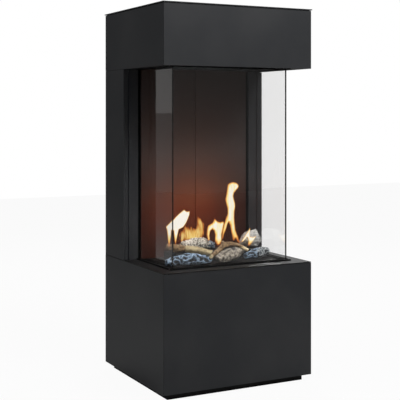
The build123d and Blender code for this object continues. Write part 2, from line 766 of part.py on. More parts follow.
with BuildPart() as gas_valve:
    slab(valve_left, valve_right, valve_front, valve_rear, valve_base, valve_base + valve_height)
    fillet(gas_valve.edges().filter_by(Axis.Z), 6.0)
    fillet(gas_valve.faces().sort_by(Axis.Z)[-1].edges(), 2.0)
    with Locations(*[Location((x, valve_front, z), (90, 0, 0)) for x, z in knob_places]):
        Cylinder(knob_radius - 3, 8)
        Cylinder(spindle_radius + running_gap, 40, mode=Mode.SUBTRACT)
    with Locations((valve_x, valve_front + 26, valve_base + valve_height + 10)):
        Cylinder(14, 20)
    with Locations((valve_x + 30, valve_rear - 20, valve_base + valve_height + 5)):
        Cylinder(6, 10)
    with Locations(Location((valve_left - 5, valve_rear - 20, valve_mid), (0, 90, 0)),
                   Location((valve_right + 5, valve_rear - 20, valve_mid), (0, 90, 0))):
        Cylinder(9, 12)
save(gas_valve, "gas_valve")


def valve_knob(x, z, ribs):
    """A ribbed knob on a spindle that turns in the valve's bore."""
    knob_back = valve_front - 4 - free_gap
    with BuildPart() as knob:
        with BuildSketch(Plane.XZ.offset(-knob_back)):
            with Locations((x, z)):
                Circle(knob_radius)
                with PolarLocations(knob_radius, ribs):
                    Circle(1.4, mode=Mode.SUBTRACT)
        extrude(amount=knob_length)
        with BuildSketch(Plane.XZ.offset(knob_length - knob_back)):
            with Locations((x, z)):
                Rectangle(5, 2 * knob_radius - 6)
        extrude(amount=4)
        with BuildSketch(Plane.XZ.offset(-knob_back)):
            with Locations((x, z)):
                Circle(spindle_radius)
        extrude(amount=-20)
    return knob


save(valve_knob(*knob_places[0], 10), "manual_knob")
save(valve_knob(*knob_places[1], 14), "flame_knob")

# Gas inlet: a union through the rear panel whose outer end takes the supply
with BuildPart() as gas_inlet:
    with BuildSketch(Plane.XZ.offset(-(panel_front - 26))):
        with Locations((inlet_x, inlet_z)):
            Circle(inlet_radius)
    extrude(amount=-(rear + inlet_reach - panel_front + 26))
    with BuildSketch(Plane.XZ.offset(-(panel_front - 12))):
        with Locations((inlet_x, inlet_z)):
            RegularPolygon(15, 6)
    extrude(amount=-12)
    with BuildSketch(Plane.XZ.offset(-(rear - sheet))):
        with Locations((inlet_x, inlet_z)):
            RegularPolygon(15, 6)
    extrude(amount=-sheet)
    with Locations(Location((inlet_x, rear, inlet_z), (90, 0, 0))):
        Cylinder(5, 120, mode=Mode.SUBTRACT)
save(gas_inlet, "gas_inlet")


def pipe(points, bend, outer, bore):
    """A drawn tube along straight runs joined by equal bends."""
    with BuildPart() as tube:
        with BuildLine() as route:
            FilletPolyline(*points, radius=bend)
        start = Plane(origin=route.wire() @ 0, z_dir=route.wire() % 0)
        with BuildSketch(start):
            Circle(outer)
            Circle(bore, mode=Mode.SUBTRACT)
        sweep()
    return tube


# Supply pipe: from the inlet forward along the floor, then into the valve's left union
port_y = valve_rear - 20
supply_route = [
    (inlet_x, panel_front - 26, inlet_z),
    (inlet_x, port_y + 60, inlet_z),
    (inlet_x, port_y, valve_mid),
    (valve_left - 11, port_y, valve_mid),
]
save(pipe(supply_route, 18, pipe_radius, pipe_bore), "gas_supply_pipe")

# Burner pipe: from the valve's right union to the injector under the venturi
injector_top = burner_low + burner_wall - venturi_length - 4
burner_route = [
    (valve_right + 11, port_y, valve_mid),
    (venturi_x, port_y, valve_mid),
    (venturi_x, port_y, valve_mid + 70),
    (venturi_x, tray_centre, valve_mid + 135),
    (venturi_x, tray_centre, injector_top - 14),
]
burner_pipe_tube = pipe(burner_route, 16, pipe_radius, pipe_bore)
with BuildPart() as burner_pipe:
    add(burner_pipe_tube.part)
    with BuildSketch(Plane.XY.offset(injector_top - 14)):
        with Locations((venturi_x, tray_centre)):
            RegularPolygon(8, 6)
    extrude(amount=14)
    with Locations((venturi_x, tray_centre, injector_top + 2)):
        Cylinder(3.5, 8)
save(burner_pipe, "burner_pipe")

# Pilot pipe: from the top of the valve up to the pilot burner
pilot_route = [
    (valve_x + 30, port_y, valve_base + valve_height + 10),
    (valve_x + 30, port_y, valve_base + valve_height + 70),
    (0, pilot_y, pan_floor - 80),
    (0, pilot_y, pan_floor),
]
save(pipe(pilot_route, 20, pilot_pipe_radius, pilot_pipe_bore), "pilot_pipe")

# Receiver box on the base floor, with the rocker switch and the reset button in its front
receiver_front = valve_front
receiver_mid = floor_top + receiver_height / 2
rocker_x = receiver_x - 25
button_x = receiver_x + 28
rocker_y = receiver_front + rocker_radius - 4

with BuildPart() as receiver_box:
    slab(receiver_x - receiver_width / 2, receiver_x + receiver_width / 2, receiver_front,
         receiver_front + receiver_depth, floor_top, floor_top + receiver_height)
    fillet(receiver_box.edges().filter_by(Axis.Z), 3.0)
    with Locations(Location((rocker_x, rocker_y, receiver_mid), (0, 90, 0))):
        Cylinder(rocker_radius + free_gap, rocker_length + 2 * free_gap, mode=Mode.SUBTRACT)
        Cylinder(1.5 + running_gap, rocker_length + 8, mode=Mode.SUBTRACT)
    with Locations(Location((button_x, receiver_front, receiver_mid), (90, 0, 0))):
        Cylinder(button_radius + running_gap, 32, mode=Mode.SUBTRACT)
save(receiver_box, "receiver_box")

with BuildPart() as rocker_switch:
    with Locations(Location((rocker_x, rocker_y, receiver_mid), (0, 90, 0))):
        Cylinder(rocker_radius, rocker_length)
    for lean in (-rocker_facet - rocker_tilt / 2, rocker_facet - rocker_tilt / 2):
        with Locations(Location((rocker_x, rocker_y, receiver_mid), (lean, 0, 0))):
            with Locations((0, -rocker_radius - 6 + 1.6, 0)):
                Box(rocker_length + 2, 12, 4 * rocker_radius, mode=Mode.SUBTRACT)
    with Locations(Location((rocker_x, rocker_y, receiver_mid), (0, 90, 0))):
        Cylinder(1.5, rocker_length + 7)
save(rocker_switch, "rocker_switch")

with BuildPart() as reset_button:
    with BuildSketch(Plane.XZ.offset(-(receiver_front - button_travel - 1))):
        with Locations((button_x, receiver_mid)):
            Circle(button_radius)
    extrude(amount=-(button_travel + 1 + 12))
    fillet(reset_button.edges().filter_by(GeomType.CIRCLE).sort_by(Axis.Y)[0], 1.0)
save(reset_button, "reset_button")

# Rear screws: pan heads with plain shanks in the return flanges
with BuildPart() as casing_screws:
    for places in (rear_places(base_screws, rear), rear_places(upper_screws, rear)):
        with Locations(*[Location(place, (90, 0, 0)) for place in places]):
            with Locations((0, 0, sheet)):
                Cylinder(screw_radius, 2 * sheet)
            with Locations((0, 0, -screw_head_height / 2)):
                Cylinder(screw_head_radius, screw_head_height)
save(casing_screws, "casing_screws")

# Ceramic logs. Each runs along a few hand-set points, with a girth at every point. A point is
# given across the stove, back from the tray's centre line and up from the bed. The front logs lie
# on the bed and the rear ones on the burner's deck
log_sides = 9
log_clearance = 0.5


def log_body(points, girths, twist, grow=0.0):
    """An irregular tapering log: a straight loft through uneven nine-sided sections."""
    spine = [Vector(x, tray_centre + y, bed + z) for x, y, z in points]
    with BuildPart() as body:
        for index, (point, girth) in enumerate(zip(spine, girths)):
            before = spine[max(index - 1, 0)]
            after = spine[min(index + 1, len(spine) - 1)]
            run = (after - before).normalized()
            across = run.cross(Vector(0, 0, 1)).normalized()
            reach = grow * (-1 if index == 0 else 1 if index == len(spine) - 1 else 0)
            with BuildSketch(Plane(origin=point + run * reach, x_dir=across, z_dir=run)):
                outline = []
                for n in range(log_sides):
                    turn = 2 * math.pi * n / log_sides
                    swell = 0.10 * math.sin(2 * turn + twist + index)
                    knob = 0.06 * math.sin(3 * turn + 2 * index)
                    radius = girth * (1 + swell + knob) + grow
                    outline.append((radius * math.cos(turn), radius * math.sin(turn)))
                Polygon(*outline, align=None)
        loft(ruled=True)
        slab(-width, width, -depth, depth, bed - 200, bed, mode=Mode.SUBTRACT)
        slab(deck_left, deck_right, deck_front, deck_rear, bed, deck_top, mode=Mode.SUBTRACT)
    return body.part


log_shapes = {
    "log_charred_left": (
        [(-200, -63, 10), (-177, -65, 15), (-143, -69, 19), (-111, -73, 19), (-79, -77, 16), (-51, -82, 10)],
        [9.5, 15, 19.5, 19, 16, 9.5], 0.4),
    "log_centre": (
        [(-35, -91, 11), (-5, -79, 17), (33, -63, 23), (68, -49, 27), (92, -39, 31)],
        [11.5, 20, 24.5, 19.5, 12], 1.1),
    "log_charred_right": (
        [(95, -57, 11), (124, -51, 15), (160, -43, 19.5), (194, -36, 20)], [9.5, 15.5, 20, 13], 2.0),
    "log_tan": ([(-106, -3, 44), (-80, -13, 40), (-52, -25, 34), (-23, -37, 26)], [11, 13, 13.5, 10], 0.2),
    "log_grey": (
        [(-95, 39, 46), (-62, 41, 50), (-27, 45, 51), (5, 49, 45), (29, 51, 39)], [15, 20, 22, 16, 11], 2.6),
    "log_small_left": (
        [(-160, 29, 52), (-141, 15, 45), (-122, 1, 44), (-110, -7, 43)], [11, 13, 14.5, 11], 1.7),
    "log_rear_right": (
        [(128, 34, 40), (150, 28, 46), (172, 24, 57), (188, 22, 68)], [14.5, 23, 28, 22], 0.9),
    "log_branch": (
        [(-57, -93, 25), (-28, -79, 37), (4, -63, 53), (27, -55, 57), (55, -51, 55), (74, -55, 49),
         (103, -63, 31)], [6, 7.5, 9.5, 10, 7.5, 7, 6.5], 1.4),
}
fork_stub = ([(16, -58, 54), (6, -57, 68)], [8, 4.5], 0.6)

laid = []
for log_name, (points, girths, twist) in log_shapes.items():
    with BuildPart() as log:
        add(log_body(points, girths, twist))
        if log_name == "log_branch":
            add(log_body(*fork_stub))
        for other in laid:
            add(log_body(*log_shapes[other], grow=log_clearance), mode=Mode.SUBTRACT)
    save(log, log_name)
    laid.append(log_name)
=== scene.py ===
# %% [markdown]
# A free-standing gas fireplace: black powder-coated steel round a fire room of clear ceramic glass,
# with ceramic logs and a live flame inside. The construction comes in as a fixed frame, so this
# notebook gives the steel its finish and models what a fire is remembered for: logs and flames.

# %% Load the frame
import math
import bpy
import numpy as np
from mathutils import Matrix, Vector


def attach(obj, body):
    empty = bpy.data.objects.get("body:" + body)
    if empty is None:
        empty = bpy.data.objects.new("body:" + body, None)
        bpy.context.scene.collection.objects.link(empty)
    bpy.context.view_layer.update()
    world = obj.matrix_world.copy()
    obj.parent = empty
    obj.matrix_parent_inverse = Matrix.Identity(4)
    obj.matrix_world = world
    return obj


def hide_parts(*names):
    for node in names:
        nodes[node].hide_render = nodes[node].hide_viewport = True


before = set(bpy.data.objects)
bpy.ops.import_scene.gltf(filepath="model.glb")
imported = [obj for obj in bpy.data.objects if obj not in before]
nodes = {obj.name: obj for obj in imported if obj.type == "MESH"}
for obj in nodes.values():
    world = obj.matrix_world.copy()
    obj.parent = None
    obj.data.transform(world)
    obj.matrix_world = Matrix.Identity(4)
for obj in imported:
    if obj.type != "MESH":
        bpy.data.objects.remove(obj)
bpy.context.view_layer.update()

# %% [markdown]
# The camera stands at about a grown person's waist, to the left of the stove, and looks level. A
# long lens keeps the verticals upright, and the picture is framed with lens shift instead of a tilt,
# as a product photographer does with a view camera.

# %% Camera
CAMERA_PLACE = (-1.5594, -2.9390, 0.8987)
CAMERA_TURN = math.radians(-27.6075)
CAMERA_LENS = 86.56
CAMERA_SHIFT = -0.2159

bpy.ops.object.camera_add(location=CAMERA_PLACE, rotation=(math.pi / 2, 0, CAMERA_TURN))
camera = bpy.context.object
camera.data.lens = CAMERA_LENS
camera.data.shift_y = CAMERA_SHIFT
bpy.context.scene.camera = camera
bpy.context.scene.view_settings.view_transform = "Standard"
print("camera looks along", tuple(round(math.degrees(a), 1) for a in camera.rotation_euler))

# %% [markdown]
# A finish is a small tree of nodes. These few helpers add a node, mix two colours, do one sum and
# stretch a value, so that the trees below read as short recipes instead of long lists of links.

# %% Helpers for node trees
def add_node(tree, kind, **settings):
    """A node with its plain settings made at once."""
    node = tree.nodes.new(kind)
    for key, value in settings.items():
        setattr(node, key, value)
    return node


def feed(tree, socket, value):
    """Give a socket a link or a plain value."""
    if hasattr(value, "is_output"):
        tree.links.new(value, socket)
    elif hasattr(value, "__len__"):
        socket.default_value = (*value[:3], 1.0) if len(socket.default_value) == 4 else value
    else:
        socket.default_value = value


def mix_color(tree, factor, first, second, blend="MIX"):
    """Mix two colours, each a socket or a plain colour."""
    node = add_node(tree, "ShaderNodeMix", data_type="RGBA", blend_type=blend)
    for socket, value in ((node.inputs[0], factor), (node.inputs[6], first), (node.inputs[7], second)):
        feed(tree, socket, value)
    return node.outputs[2]


def maths(tree, operation, first, second=0.5):
    """One sum on two values, each a socket or a number."""
    node = add_node(tree, "ShaderNodeMath", operation=operation)
    feed(tree, node.inputs[0], first)
    feed(tree, node.inputs[1], second)
    return node.outputs[0]


def spread(tree, value, low, high, start=0.0, end=1.0):
    """Stretch a value from one range to another, held at both ends."""
    node = add_node(tree, "ShaderNodeMapRange", clamp=True)
    feed(tree, node.inputs["Value"], value)
    for title, number in (("From Min", low), ("From Max", high), ("To Min", start), ("To Max", end)):
        node.inputs[title].default_value = number
    return node.outputs[0]


def noise(tree, vector, scale, detail=3.0, rough=0.5):
    """Fractal noise read at a vector; the scale is a socket or a number."""
    node = add_node(tree, "ShaderNodeTexNoise")
    node.inputs["Detail"].default_value = detail
    node.inputs["Roughness"].default_value = rough
    feed(tree, node.inputs["Vector"], vector)
    feed(tree, node.inputs["Scale"], scale)
    return node.outputs["Fac"]


def stretched(tree, vector, scale):
    """The same vector, scaled apart along its axes, for streaks and grain."""
    node = add_node(tree, "ShaderNodeMapping")
    node.inputs["Scale"].default_value = scale
    feed(tree, node.inputs["Vector"], vector)
    return node.outputs[0]


def new_group(name, inputs, outputs):
    """A shader group with its sockets, ready to be filled."""
    group = bpy.data.node_groups.new(name, "ShaderNodeTree")
    for title, kind, value in inputs:
        group.interface.new_socket(title, in_out="INPUT", socket_type=kind).default_value = value
    for title, kind in outputs:
        group.interface.new_socket(title, in_out="OUTPUT", socket_type=kind)
    return group, add_node(group, "NodeGroupInput").outputs, add_node(group, "NodeGroupOutput").inputs


FLOAT, COLOR = "NodeSocketFloat", "NodeSocketColor"
print("helpers ready")

# %% [markdown]
# A pale studio: a wide floor that keeps a soft shadow of the stove, and a white world. Rays that
# come straight from the camera, or by way of glass, see plain white there, and gloss sees a little of
# it, so the backdrop stays white while the light on the steel stays moderate. Light that has
# bounced in the fire room and leaves it through the glass finds the moderate world again.

# %% World and floor
WORLD_LIGHT = 0.105
GLOSS_SHARE = 0.03
FLOOR_SIZE = 14.0
FLOOR_GLOW = 0.95
FLOOR_PAINT = (0.46, 0.46, 0.46, 1.0)
FLOOR_DROP = 0.0005


def seen_white(tree):
    """One for rays that should see the white backdrop, a little for gloss, nothing for the rest."""
    path = add_node(tree, "ShaderNodeLightPath").outputs
    scattered = maths(tree, "ADD", path["Diffuse Depth"], path["Glossy Depth"])
    through = maths(tree, "MULTIPLY", path["Is Transmission Ray"], maths(tree, "LESS_THAN", scattered))
    direct = maths(tree, "MAXIMUM", path["Is Camera Ray"], through)
    return maths(tree, "MAXIMUM", direct, maths(tree, "MULTIPLY", path["Is Glossy Ray"], GLOSS_SHARE))


world = bpy.data.worlds.new("studio")
bpy.context.scene.world = world
world.use_nodes = True
tree = world.node_tree
backdrop = tree.nodes["Background"]
backdrop.inputs["Color"].default_value = (1.0, 1.0, 1.0, 1.0)
feed(tree, backdrop.inputs["Strength"], spread(tree, seen_white(tree), 0.0, 1.0, WORLD_LIGHT, 1.0))

bpy.ops.object.select_all(action="DESELECT")
bpy.ops.mesh.primitive_plane_add(size=FLOOR_SIZE, location=(0, 0, -FLOOR_DROP))
floor = bpy.context.object
floor.name = "studio_floor"
pale = bpy.data.materials.new("studio_pale")
pale.use_nodes = True
tree = pale.node_tree
paint = tree.nodes["Principled BSDF"]
paint.inputs["Base Color"].default_value = FLOOR_PAINT
paint.inputs["Roughness"].default_value = 0.9
glow = add_node(tree, "ShaderNodeEmission")
blend = add_node(tree, "ShaderNodeMixShader")
feed(tree, blend.inputs[0], maths(tree, "MULTIPLY", seen_white(tree), FLOOR_GLOW))
feed(tree, blend.inputs[1], paint.outputs[0])
feed(tree, blend.inputs[2], glow.outputs[0])
feed(tree, tree.nodes["Material Output"].inputs["Surface"], blend.outputs[0])
floor.data.materials.append(pale)
print("floor", FLOOR_SIZE, "m across")

# %% [markdown]
# Soft light: one large panel in front and above, which makes the hood a little lighter than the
# base, a weaker one on the left, and one behind, so that the back can be read too. A dim card at the
# rear left is linked to the left pane alone: it lights nothing, but its image shows in the upper
# part of that pane, where it proves that the glass is there.

# %% Studio lights
def softbox(name, place, target, size, power):
    """A rectangular panel light turned towards a point."""
    bpy.ops.object.light_add(type="AREA", location=place)
    lamp = bpy.context.object
    lamp.name = name
    lamp.data.shape = "RECTANGLE"
    lamp.data.size, lamp.data.size_y = size
    lamp.data.energy = power
    aim = Vector(target) - Vector(place)
    lamp.rotation_euler = aim.to_track_quat("-Z", "Y").to_euler()
    lamp.visible_camera = False
    return lamp


softbox("front_panel", (0.7, -1.9, 2.8), (0, 0, 1.2), (1.8, 1.0), 82)
softbox("left_panel", (-1.8, -0.1, 2.7), (0, 0, 1.2), (1.4, 1.0), 23)
softbox("rear_panel", (1.3, 2.5, 2.3), (0.05, 0.28, 0.7), (1.8, 1.4), 60)
card = softbox("pane_card", (-1.05, 1.62, 1.16), (-0.22, -0.05, 1.0), (1.2, 0.52), 0.34)
panes = bpy.data.collections.new("pane_card_lit")
panes.objects.link(nodes["glass_left"])
card.light_linking.receiver_collection = panes

# %% [markdown]
# Powder coat is a baked plastic skin. Close up it has a fine orange peel, and handling leaves broad
# patches that are a little glossier. Towards the bottom of the fire room the paint is made darker and
# browner: painted shade. All of this sits in one node group, so every painted sheet can have it
# at its own strength.

# %% Powder coat
# Heights in metres where the painted shade at the bottom of the fire room is full and where it is gone.
BOTTOM_SHADE_FULL, BOTTOM_SHADE_GONE = 0.56, 0.76
DUST_COLOR = (0.09, 0.088, 0.085)

coat, given, out = new_group(
    "powder_coat",
    [("Color", COLOR, (0.02, 0.02, 0.02, 1)), ("Peel Scale", FLOAT, 900.0),
     ("Gloss Patches", FLOAT, 0.06), ("Base Roughness", FLOAT, 0.45), ("Dust", FLOAT, 0.15),
     ("Bottom Shade Color", COLOR, (0.012, 0.005, 0.003, 1)), ("Bottom Shade", FLOAT, 0.0)],
    [("Color", COLOR), ("Roughness", FLOAT), ("Height", FLOAT)],
)
place = add_node(coat, "ShaderNodeTexCoord").outputs["Object"]
patches = noise(coat, place, 4.0, 4.0, 0.55)
offset = maths(coat, "MULTIPLY", maths(coat, "SUBTRACT", patches, 0.5), given["Gloss Patches"])
feed(coat, out["Roughness"], maths(coat, "ADD", given["Base Roughness"], offset))
dust = maths(coat, "MULTIPLY", spread(coat, patches, 0.42, 0.75), given["Dust"])
height = add_node(coat, "ShaderNodeSeparateXYZ")
feed(coat, height.inputs[0], place)
# Painted shade: the colour turns darker and browner towards the bottom of the fire room.
bottom_shade = spread(coat, height.outputs["Z"], BOTTOM_SHADE_FULL, BOTTOM_SHADE_GONE, 1.0, 0.0)
bottom_shade_amount = maths(coat, "MULTIPLY", bottom_shade, given["Bottom Shade"])
skin = mix_color(coat, bottom_shade_amount, given["Color"], given["Bottom Shade Color"])
feed(coat, out["Color"], mix_color(coat, dust, skin, DUST_COLOR))
feed(coat, out["Height"], noise(coat, place, given["Peel Scale"], 2.0, 0.4))
print("group", coat.name, "with", len(coat.nodes), "nodes")

# %% [markdown]
# Every finish below is a Principled shader fed by one group. What is the same all over a surface,
# such as how metallic it is, is set on the shader itself, and only what varies comes by a link.

# %% A material maker
def new_material(name, group, values, bump=0.0, metallic=0.0, specular=0.5, coat_weight=0.0):
    """A Principled material fed by one finish group."""
    made = bpy.data.materials.new(name)
    made.use_nodes = True
    tree = made.node_tree
    shader = tree.nodes["Principled BSDF"]
    shader.inputs["Metallic"].default_value = metallic
    shader.inputs["Specular IOR Level"].default_value = specular
    shader.inputs["Coat Weight"].default_value = coat_weight
    finish = add_node(tree, "ShaderNodeGroup", node_tree=group)
    for title, value in values.items():
        feed(tree, finish.inputs[title], value)
    feed(tree, shader.inputs["Base Color"], finish.outputs["Color"])
    feed(tree, shader.inputs["Roughness"], finish.outputs["Roughness"])
    if bump > 0:
        relief = add_node(tree, "ShaderNodeBump")
        relief.inputs["Distance"].default_value = bump
        feed(tree, relief.inputs["Height"], finish.outputs["Height"])
        feed(tree, shader.inputs["Normal"], relief.outputs["Normal"])
    return made


def dress(material, *names):
    """Give a finish to CAD nodes."""
    for name in names:
        nodes[name].data.materials.clear()
        nodes[name].data.materials.append(material)
    print(material.name, "on", len(names), "nodes")


# %% Painted steel
CASING_BLACK = (0.0200, 0.0212, 0.0236)
CHAMBER_BLACK = (0.026, 0.0265, 0.0275)
HEARTH_BLACK = (0.005, 0.005, 0.0052)
PLINTH_BLACK = (0.006, 0.006, 0.006)
TRAY_BLACK = (0.004, 0.0038, 0.0036)

casing = new_material("casing_black", coat, {"Color": CASING_BLACK, "Base Roughness": 0.46},
                      bump=0.00003, specular=0.32)
# The fire room's walls and ceiling get the painted shade at their bottom at full strength.
chamber = new_material("chamber_black", coat, {"Color": CHAMBER_BLACK, "Base Roughness": 0.62,
                                               "Peel Scale": 500.0, "Dust": 0.03, "Bottom Shade": 1.0},
                       bump=0.00005, specular=0.1)
hearth = new_material("hearth_black", coat, {"Color": HEARTH_BLACK, "Base Roughness": 0.5},
                      bump=0.00003, specular=0.12)
tray = new_material("tray_black", coat, {"Color": TRAY_BLACK, "Base Roughness": 0.8,
                                         "Peel Scale": 300.0, "Dust": 0.04}, bump=0.00006, specular=0.05)
plinth = new_material("plinth_black", coat, {"Color": PLINTH_BLACK, "Base Roughness": 0.6},
                      bump=0.00003, specular=0.2)
dress(casing, "base_side_left", "base_side_right", "base_rear", "column_side_left", "column_side_right",
      "chamber_jambs", "rear_panel", "hood_front", "hood_side_left", "hood_side_right", "lid",
      "door_panel")
dress(chamber, "back_wall_left", "back_wall_right", "hood_ceiling")
dress(hearth, "hearth_plate", "glass_rails")
dress(tray, "burner_tray")
dress(plinth, "plinth_frame")

# %% [markdown]
# Ceramic fire glass is clear with the faintest warm tint. This one has an anti-reflective skin: it
# mirrors hardly at all straight on and more at a glance, so its specular level is low. Shadow rays
# pass it, so the lamps light the fire room through it.

# %% Fire glass
CLEAN_GLASS = (1.0, 1.0, 0.999)
FILMED_GLASS = (0.996, 0.995, 0.992)
GLASS_SHADOW = 0.08


def fire_glass():
    """Clear glass that lets the lamps through."""
    made = bpy.data.materials.new("fire_glass")
    made.use_nodes = True
    tree = made.node_tree
    shader = tree.nodes["Principled BSDF"]
    place = add_node(tree, "ShaderNodeTexCoord").outputs["Object"]
    film = spread(tree, noise(tree, place, 6.0, 3.0), 0.4, 0.8)
    feed(tree, shader.inputs["Base Color"], mix_color(tree, film, CLEAN_GLASS, FILMED_GLASS))
    feed(tree, shader.inputs["Roughness"], spread(tree, film, 0.0, 1.0, 0.0, 0.012))
    shader.inputs["IOR"].default_value = 1.5
    shader.inputs["Specular IOR Level"].default_value = 0.07
    shader.inputs["Transmission Weight"].default_value = 1.0
    path = add_node(tree, "ShaderNodeLightPath").outputs
    feed(tree, shader.inputs["Alpha"], spread(tree, path["Is Shadow Ray"], 0.0, 1.0, 1.0, GLASS_SHADOW))
    return made


dress(fire_glass(), "glass_front", "glass_left", "glass_right")

# %% [markdown]
# Behind the service door there is bare metal. Zinc on galvanised sheet shows its crystals as dull
# and bright flakes, rolled and drawn metal shows fine lines along its length, and a casting shows a
# pebbled skin. One group covers the three: cells for the flakes, stretched noise for the lines.

# %% Bare metal
bare, given, out = new_group(
    "bare_metal",
    [("Color", COLOR, (0.5, 0.5, 0.5, 1)), ("Flake Scale", FLOAT, 90.0), ("Flakes", FLOAT, 0.3),
     ("Lines", FLOAT, 0.1), ("Base Roughness", FLOAT, 0.35)],
    [("Color", COLOR), ("Roughness", FLOAT), ("Height", FLOAT)],
)
place = add_node(bare, "ShaderNodeTexCoord").outputs["Object"]
cells = add_node(bare, "ShaderNodeTexVoronoi")
feed(bare, cells.inputs["Vector"], place)
feed(bare, cells.inputs["Scale"], given["Flake Scale"])
flake = add_node(bare, "ShaderNodeSeparateColor")
feed(bare, flake.inputs[0], cells.outputs["Color"])
lines = noise(bare, stretched(bare, place, (12, 900, 900)), 1.0, 2.0)
tone = maths(bare, "MULTIPLY", flake.outputs[0], given["Flakes"])
feed(bare, out["Color"], mix_color(bare, tone, given["Color"], (0.82, 0.83, 0.85)))
streak = maths(bare, "MULTIPLY", lines, given["Lines"])
feed(bare, out["Roughness"], maths(bare, "ADD", maths(bare, "ADD", given["Base Roughness"], streak),
                                   maths(bare, "MULTIPLY", flake.outputs[1], 0.08)))
feed(bare, out["Height"], lines)

# %% Metals and plastics of the works
zinc = new_material("galvanised_sheet", bare, {"Color": (0.36, 0.37, 0.38), "Flakes": 0.22}, metallic=1.0)
stainless = new_material("flue_stainless", bare, {"Color": (0.56, 0.56, 0.56), "Flakes": 0.0, "Lines": 0.2,
                                                  "Base Roughness": 0.25}, bump=0.00002, metallic=1.0)
casting = new_material("valve_casting", bare, {"Color": (0.5, 0.5, 0.5), "Flake Scale": 700.0,
                                               "Flakes": 0.15, "Base Roughness": 0.5}, metallic=1.0)
copper = new_material("drawn_copper", bare, {"Color": (0.72, 0.36, 0.22), "Flakes": 0.05, "Lines": 0.15,
                                             "Base Roughness": 0.22}, metallic=1.0)
brass = new_material("turned_brass", bare, {"Color": (0.66, 0.47, 0.2), "Flakes": 0.03, "Lines": 0.12,
                                            "Base Roughness": 0.22}, metallic=1.0)
tinted = new_material("burner_steel", coat, {"Color": (0.008, 0.007, 0.0065), "Base Roughness": 0.6,
                                             "Peel Scale": 300.0, "Dust": 0.15}, bump=0.00006, specular=0.12)
plastic = new_material("black_plastic", coat, {"Color": (0.018, 0.018, 0.019), "Base Roughness": 0.5,
                                               "Peel Scale": 1600.0}, bump=0.00004, specular=0.45)
red = new_material("red_plastic", coat, {"Color": (0.42, 0.02, 0.015), "Base Roughness": 0.25,
                                         "Dust": 0.03}, specular=0.5, coat_weight=0.4)
glazed = new_material("glazed_ceramic", coat, {"Color": (0.78, 0.75, 0.68), "Base Roughness": 0.18,
                                               "Dust": 0.1}, specular=0.5, coat_weight=0.5)
oxide = new_material("black_oxide", bare, {"Color": (0.03, 0.03, 0.031), "Flakes": 0.02,
                                           "Base Roughness": 0.32}, metallic=1.0)
dress(zinc, "base_floor", "base_posts", "flue_box", "valve_bracket", "pivot_brackets", "door_frame",
      "catch_plunger", "relief_flap", "foot_front_left", "foot_front_right", "foot_rear_left",
      "foot_rear_right")
dress(stainless, "flue_spigot_outer", "flue_spigot_inner")
dress(casting, "gas_valve")
dress(copper, "gas_supply_pipe", "burner_pipe", "pilot_pipe")
dress(brass, "gas_inlet")
dress(tinted, "burner", "pilot_burner")
dress(plastic, "receiver_box", "push_catch", "manual_knob", "flame_knob", "rocker_switch")
dress(red, "reset_button")
dress(glazed, "pilot_probes")
dress(oxide, "casing_screws")

# %% [markdown]
# Glass-fibre rope packs the rear edge of each side pane. Its braid shows as slanting strands, which
# two crossed sets of waves give.

# %% Rope seal
braid, given, out = new_group(
    "fibre_braid", [("Color", COLOR, (0.004, 0.004, 0.004, 1)), ("Strands", FLOAT, 160.0)],
    [("Color", COLOR), ("Roughness", FLOAT), ("Height", FLOAT)],
)
place = add_node(braid, "ShaderNodeTexCoord").outputs["Object"]
strands = []
for lean in (1.0, -1.0):
    turned = add_node(braid, "ShaderNodeMapping")
    turned.inputs["Rotation"].default_value = (0, lean * 0.8, 0)
    feed(braid, turned.inputs["Vector"], place)
    wave = add_node(braid, "ShaderNodeTexWave", bands_direction="Z")
    feed(braid, wave.inputs["Vector"], turned.outputs[0])
    feed(braid, wave.inputs["Scale"], given["Strands"])
    strands.append(wave.outputs["Fac"])
crossed = maths(braid, "MAXIMUM", strands[0], strands[1])
feed(braid, out["Color"], mix_color(braid, crossed, (0.0015, 0.0015, 0.0015), given["Color"]))
feed(braid, out["Roughness"], spread(braid, crossed, 0.0, 1.0, 0.95, 0.75))
feed(braid, out["Height"], crossed)
dress(new_material("rope_seal", braid, {"Color": (0.0045, 0.0045, 0.0045)}, bump=0.0008, specular=0.05),
      "glass_seals")

# %% [markdown]
# A ceramic log is cast from real wood, so it has a real log's shape: an uneven round body that
# tapers and bends. Here a smooth curve with a girth at each point gives the body, a voxel remesh
# gives it an even skin, and procedural displacement carves bark, char and cracks into that skin.

# %% Log body
MM_PER_M = 1000
FAR = 1e9


def round_body(name, points, girths, voxel, extra=()):
    """A body along one or more curves, with a radius at every point, as an even closed mesh in metres."""
    curve = bpy.data.curves.new(name, "CURVE")
    curve.dimensions = "3D"
    curve.bevel_depth = 1.0
    curve.bevel_resolution = 6
    curve.resolution_u = 8
    curve.use_fill_caps = True
    for line, radii in ((points, girths), *extra):
        spline = curve.splines.new("NURBS")
        spline.points.add(len(line) - 1)
        for knot, place, radius in zip(spline.points, line, radii):
            knot.co = (*(v / MM_PER_M for v in place), 1.0)
            knot.radius = radius / MM_PER_M
        spline.order_u = min(3, len(line))
        spline.use_endpoint_u = True
    body = bpy.data.objects.new(name, curve)
    bpy.context.collection.objects.link(body)
    bpy.ops.object.select_all(action="DESELECT")
    body.select_set(True)
    bpy.context.view_layer.objects.active = body
    bpy.ops.object.convert(target="MESH")
    body = bpy.context.object
    bpy.ops.object.modifier_add(type="REMESH")
    body.modifiers[-1].voxel_size = voxel
    bpy.ops.object.modifier_apply(modifier=body.modifiers[-1].name)
    return body


def coordinates(body):
    """The mesh's points as an array."""
    flat = np.empty(len(body.data.vertices) * 3)
    body.data.vertices.foreach_get("co", flat)
    return flat.reshape(-1, 3)


def directions(body):
    """The normal at each point of the mesh."""
    flat = np.empty(len(body.data.vertices) * 3)
    body.data.vertices.foreach_get("normal", flat)
    return flat.reshape(-1, 3)


